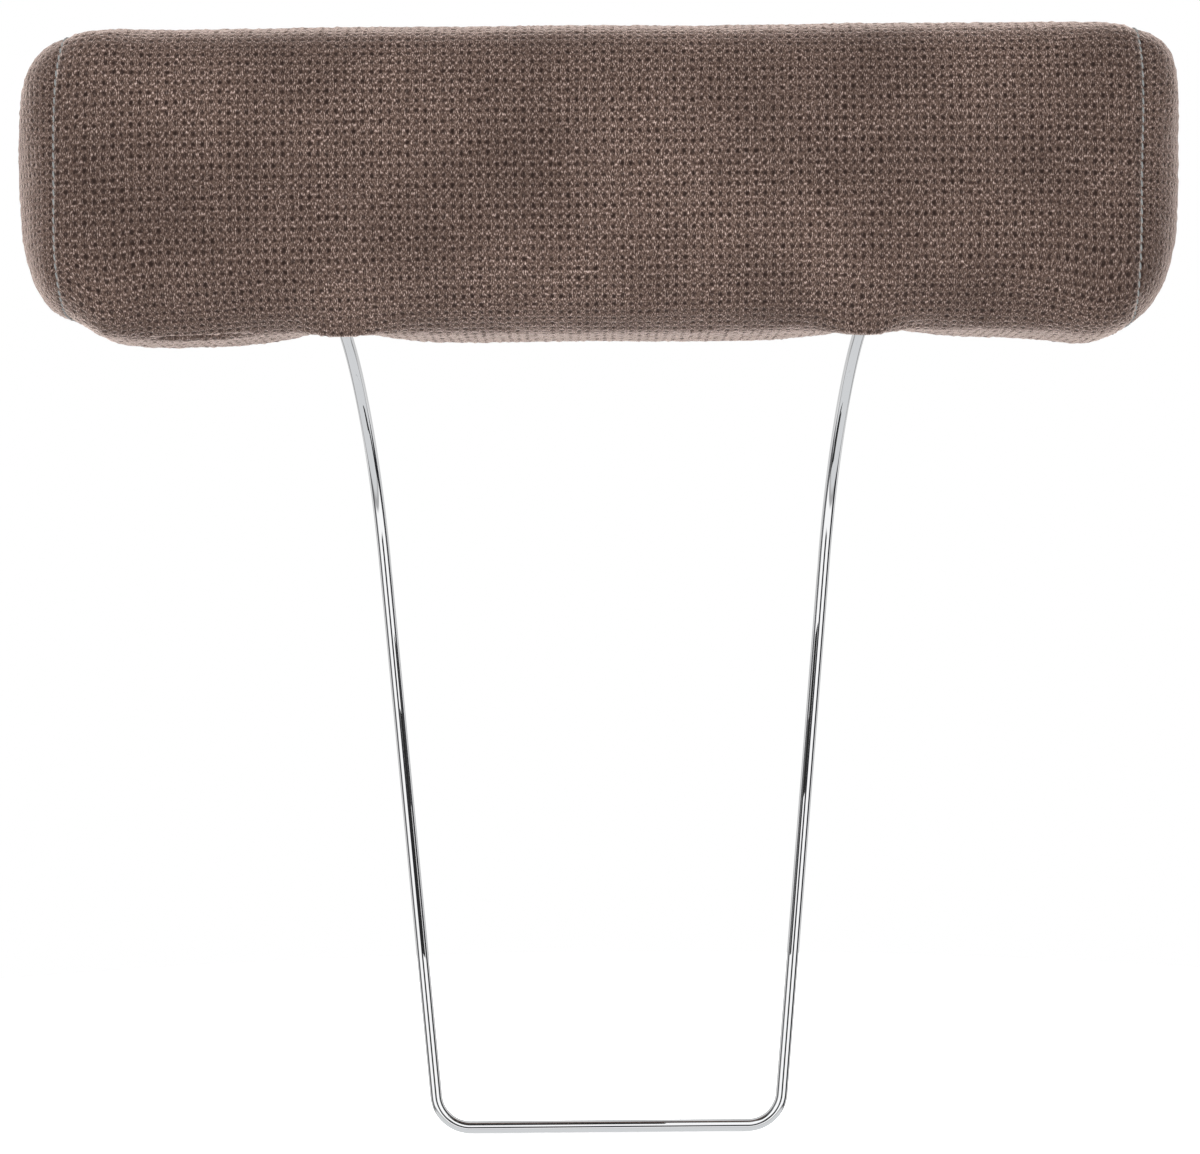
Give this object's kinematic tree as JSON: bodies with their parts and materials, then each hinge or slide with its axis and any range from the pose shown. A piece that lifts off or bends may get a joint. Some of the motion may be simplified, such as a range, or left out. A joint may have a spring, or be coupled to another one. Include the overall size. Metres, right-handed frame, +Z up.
{
  "type": "plug-in headrest",
  "caption": "Long upholstered headrest cushion on a chrome wire bow that slides in behind a sofa or armchair back cushion; the cushion tilts on the bow.",
  "frame": {"origin": "middle of the bow's bottom bar, on the rod's centreline, where the bow goes in behind a cushion", "axes": "+X to the right seen from the front, along the cushion; +Y to the back; +Z up, from the bow to the cushion; the front faces -Y"},
  "size_m": [0.549, 0.1314, 0.5374],
  "materials": {
    "chrome_rod": "bright chrome plating on round steel rod",
    "black_plastic": "matt moulded",
    "plywood": "raw sanded plywood",
    "grey_plastic": "matt glass-filled moulding",
    "nylon": "natural nylon",
    "zinc_steel": "zinc plated",
    "foam": "open-cell foam",
    "fibre_wadding": "loose fibre wadding",
    "cover_fabric": "coarse woven taupe upholstery fabric with a soft nap",
    "facing_cloth": "plain woven lining",
    "zip_tape": "woven polyester tape",
    "zip_plastic": "nylon coil",
    "zip_metal": "plated zinc casting"
  },
  "bodies": {
    "bow": {"wire_bow": "chrome_rod", "left_rod_cap": "black_plastic", "right_rod_cap": "black_plastic"},
    "cushion": {"core_board": "plywood", "left_saddle": "grey_plastic", "right_saddle": "grey_plastic", "left_bush": "nylon", "right_bush": "nylon", "saddle_screws": "zinc_steel", "tee_nuts": "zinc_steel", "front_foam": "foam", "rear_foam": "foam", "wadding": "fibre_wadding", "cover_sleeve": "cover_fabric", "left_end_panel": "cover_fabric", "right_end_panel": "cover_fabric", "left_slit_facing": "facing_cloth", "right_slit_facing": "facing_cloth", "upper_zip_tape": "zip_tape", "lower_zip_tape": "zip_tape", "zip_coil": "zip_plastic", "zip_stops": "zip_metal"},
    "slider": {"zip_slider": "zip_metal"},
    "pull": {"zip_pull": "zip_metal"}
  },
  "joints": [
    {"name": "cushion_tilt", "type": "hinge", "parent": "bow", "child": "cushion", "pos_m": [0, -0.08074, 0.43139], "axis": [1, 0, 0], "range_deg": [0, 20]},
    {"name": "zip_slide", "type": "slide", "parent": "cushion", "child": "slider", "axis": [-1, 0, 0], "range_m": [0, 0.413]},
    {"name": "pull_swing", "type": "hinge", "parent": "slider", "child": "pull", "pos_m": [0.2067, 0.00714, 0.42239], "axis": [0, 0, -1], "range_deg": [0, 165]}
  ]
}
